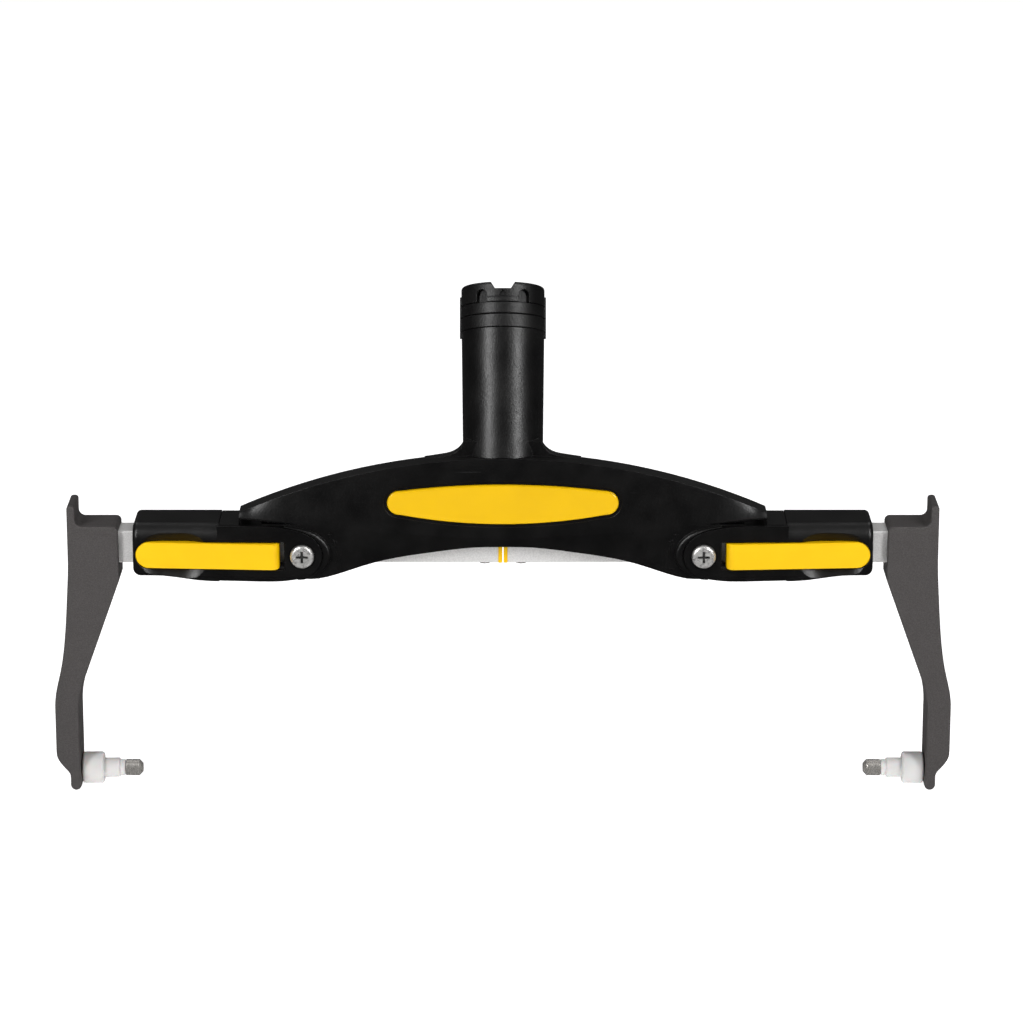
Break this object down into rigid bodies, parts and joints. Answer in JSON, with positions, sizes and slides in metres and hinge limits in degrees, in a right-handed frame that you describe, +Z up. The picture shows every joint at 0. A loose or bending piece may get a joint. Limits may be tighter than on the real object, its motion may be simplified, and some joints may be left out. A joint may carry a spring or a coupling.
{
  "type": "adjustable paint roller frame",
  "caption": "Wide paint roller frame: a black bow with a leaning pole socket, square bars that slide out from cam locks, and downturned arms whose spindles hold a roller cover.",
  "frame": {"origin": "middle of the pole thread's mouth, inside the socket", "axes": "+X along the sliding bars, to the right when the badge is faced; -Y out of the badge's face; +Z up, away from the spindles"},
  "size_m": [0.3476, 0.0582, 0.1977],
  "materials": {
    "black_plastic": "satin, fine moulded grain",
    "yellow_plastic": "gloss",
    "bar_aluminium": "satin, drawn along its length",
    "arm_paint": "fine-grained satin",
    "white_plastic": "satin",
    "pin_steel": "turned",
    "screw_chrome": "polished"
  },
  "bodies": {
    "frame": {"frame_body": "black_plastic", "badge": "yellow_plastic", "thread_insert": "black_plastic", "socket_ring_lower": "black_plastic", "socket_ring_upper": "black_plastic", "quick_connect_collar": "black_plastic", "left_lock_housing": "black_plastic", "left_lever_pin": "pin_steel", "left_lock_nut": "pin_steel", "right_lock_housing": "black_plastic", "right_lever_pin": "pin_steel", "right_lock_nut": "pin_steel"},
    "left_arm": {"left_bar": "bar_aluminium", "left_bar_plug": "yellow_plastic", "left_stop_screw": "pin_steel", "left_arm": "arm_paint", "left_arm_rivet": "pin_steel", "left_spindle_pin": "pin_steel"},
    "left_spindle": {"left_spindle_bearing": "white_plastic"},
    "left_lever": {"left_lock_lever": "yellow_plastic"},
    "left_tension_screw": {"left_lock_screw": "screw_chrome"},
    "right_arm": {"right_bar": "bar_aluminium", "right_bar_plug": "yellow_plastic", "right_stop_screw": "pin_steel", "right_arm": "arm_paint", "right_arm_rivet": "pin_steel", "right_spindle_pin": "pin_steel"},
    "right_spindle": {"right_spindle_bearing": "white_plastic"},
    "right_lever": {"right_lock_lever": "yellow_plastic"},
    "right_tension_screw": {"right_lock_screw": "screw_chrome"}
  },
  "joints": [
    {"name": "left_arm_slide", "type": "slide", "parent": "frame", "child": "left_arm", "axis": [-1, 0, 0], "range_m": [0, 0.0762]},
    {"name": "left_lever_hinge", "type": "hinge", "parent": "frame", "child": "left_lever", "pos_m": [-0.0894, -0.03171, -0.07907], "axis": [0, 0, 1], "range_deg": [0, 90]},
    {"name": "left_spindle_spin", "type": "hinge", "parent": "left_arm", "child": "left_spindle", "pos_m": [-0.156, -0.02051, -0.16942], "axis": [1, 0, 0], "continuous": true},
    {"name": "left_tension_screw_turn", "type": "hinge", "parent": "frame", "child": "left_tension_screw", "pos_m": [-0.0768, -0.03501, -0.07907], "axis": [0, -1, 0], "range_deg": [-90, 90]},
    {"name": "right_arm_slide", "type": "slide", "parent": "frame", "child": "right_arm", "axis": [1, 0, 0], "range_m": [0, 0.0762]},
    {"name": "right_lever_hinge", "type": "hinge", "parent": "frame", "child": "right_lever", "pos_m": [0.0894, -0.03171, -0.07907], "axis": [0, 0, -1], "range_deg": [0, 90]},
    {"name": "right_spindle_spin", "type": "hinge", "parent": "right_arm", "child": "right_spindle", "pos_m": [0.156, -0.02051, -0.16942], "axis": [1, 0, 0], "continuous": true},
    {"name": "right_tension_screw_turn", "type": "hinge", "parent": "frame", "child": "right_tension_screw", "pos_m": [0.0768, -0.03501, -0.07907], "axis": [0, -1, 0], "range_deg": [-90, 90]}
  ]
}
